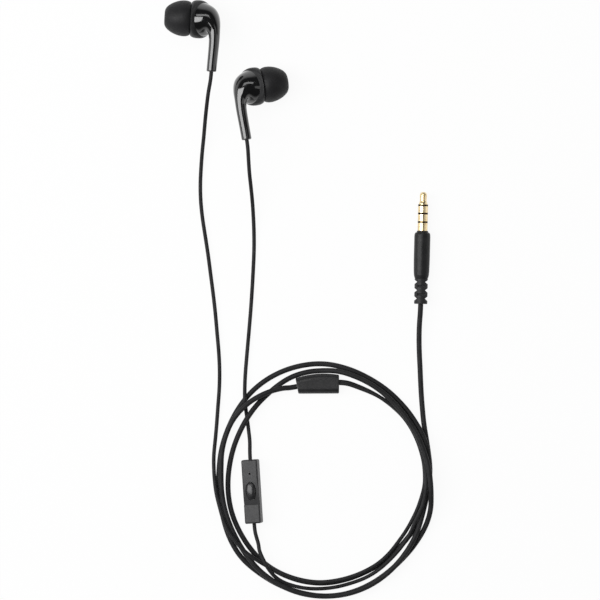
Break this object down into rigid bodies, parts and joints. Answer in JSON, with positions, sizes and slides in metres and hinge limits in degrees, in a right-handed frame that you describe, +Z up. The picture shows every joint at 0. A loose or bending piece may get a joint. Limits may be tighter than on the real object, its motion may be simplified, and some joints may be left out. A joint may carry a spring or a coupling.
{
  "type": "wired earphones",
  "caption": "Wired in-ear earphones with silicone tips, an in-line button remote, a cord splitter and a four-pole gold plug, lying with the cord looped.",
  "frame": {"origin": "on the table, under the middle of the box round the two earbuds, with the cord, remote, splitter and plug left out", "axes": "+Y from the looped cord towards the earbuds, along the stems; +X from the left earbud towards the plug; +Z up from the table"},
  "size_m": [0.0953, 0.2121, 0.0132],
  "materials": {
    "ear_tip": "matte silicone",
    "collar": "fine matte",
    "housing": "high gloss",
    "mesh": "fine woven",
    "driver_frame": "matte",
    "surround": "matte",
    "diaphragm": "satin film",
    "copper": "enamelled wire",
    "steel": "zinc plated",
    "magnet": "nickel plated",
    "circuit": "solder mask",
    "grommet": "matte",
    "remote_shell": "satin",
    "button": "satin gloss",
    "switch": "matte",
    "microphone": "plain",
    "foam": "open cell",
    "splitter": "matte",
    "filler": "matte",
    "contact": "gold plated, polished",
    "insulator": "matte",
    "barrel": "fine matte",
    "relief": "matte",
    "cord": "matte jacket"
  },
  "bodies": {
    "earphones": {"left_front_housing": "collar", "left_nozzle_mesh": "mesh", "left_rear_housing": "housing", "left_cord_grommet": "grommet", "left_driver_frame": "driver_frame", "left_surround": "surround", "left_yoke": "steel", "left_magnet": "magnet", "left_top_plate": "steel", "left_terminal_board": "circuit", "right_front_housing": "collar", "right_nozzle_mesh": "mesh", "right_rear_housing": "housing", "right_cord_grommet": "grommet", "right_driver_frame": "driver_frame", "right_surround": "surround", "right_yoke": "steel", "right_magnet": "magnet", "right_top_plate": "steel", "right_terminal_board": "circuit", "remote_front_shell": "remote_shell", "remote_rear_shell": "remote_shell", "remote_switch": "switch", "remote_circuit_board": "circuit", "microphone_capsule": "microphone", "microphone_gasket": "foam", "remote_upper_bush": "grommet", "remote_lower_bush": "grommet", "splitter_cover": "splitter", "splitter_core": "filler", "plug_tip_contact": "contact", "plug_insulator_1": "insulator", "plug_ring_1": "contact", "plug_insulator_2": "insulator", "plug_ring_2": "contact", "plug_insulator_3": "insulator", "plug_sleeve": "contact", "plug_barrel": "barrel", "plug_inner_mould": "filler", "plug_strain_relief": "relief", "main_cord_lead": "cord", "main_cord_coil": "cord", "left_cord": "cord", "right_cord_upper": "cord", "right_cord_lower": "cord"},
    "left_tip": {"left_ear_tip": "ear_tip"},
    "right_tip": {"right_ear_tip": "ear_tip"},
    "left_membrane": {"left_diaphragm": "diaphragm", "left_voice_coil": "copper"},
    "right_membrane": {"right_diaphragm": "diaphragm", "right_voice_coil": "copper"},
    "remote_key": {"remote_button": "button", "switch_plunger": "switch"}
  },
  "joints": [
    {"name": "left_ear_tip_pull", "type": "slide", "parent": "earphones", "child": "left_tip", "axis": [-0.9979, 0.0645, 0], "range_m": [0, 0.006]},
    {"name": "right_ear_tip_pull", "type": "slide", "parent": "earphones", "child": "right_tip", "axis": [0.9794, 0.1464, -0.1392], "range_m": [0, 0.006]},
    {"name": "left_diaphragm_stroke", "type": "slide", "parent": "earphones", "child": "left_membrane", "axis": [0.8273, -0.0535, 0.5592], "range_m": [-0.0001, 0.0001], "stiffness_N_per_m": 400},
    {"name": "right_diaphragm_stroke", "type": "slide", "parent": "earphones", "child": "right_membrane", "axis": [-0.735, -0.1098, 0.6691], "range_m": [-0.0001, 0.0001], "stiffness_N_per_m": 400},
    {"name": "remote_button_press", "type": "slide", "parent": "earphones", "child": "remote_key", "axis": [0.2076, 0.0116, -0.9781], "range_m": [0, 0.0003], "stiffness_N_per_m": 2000}
  ]
}
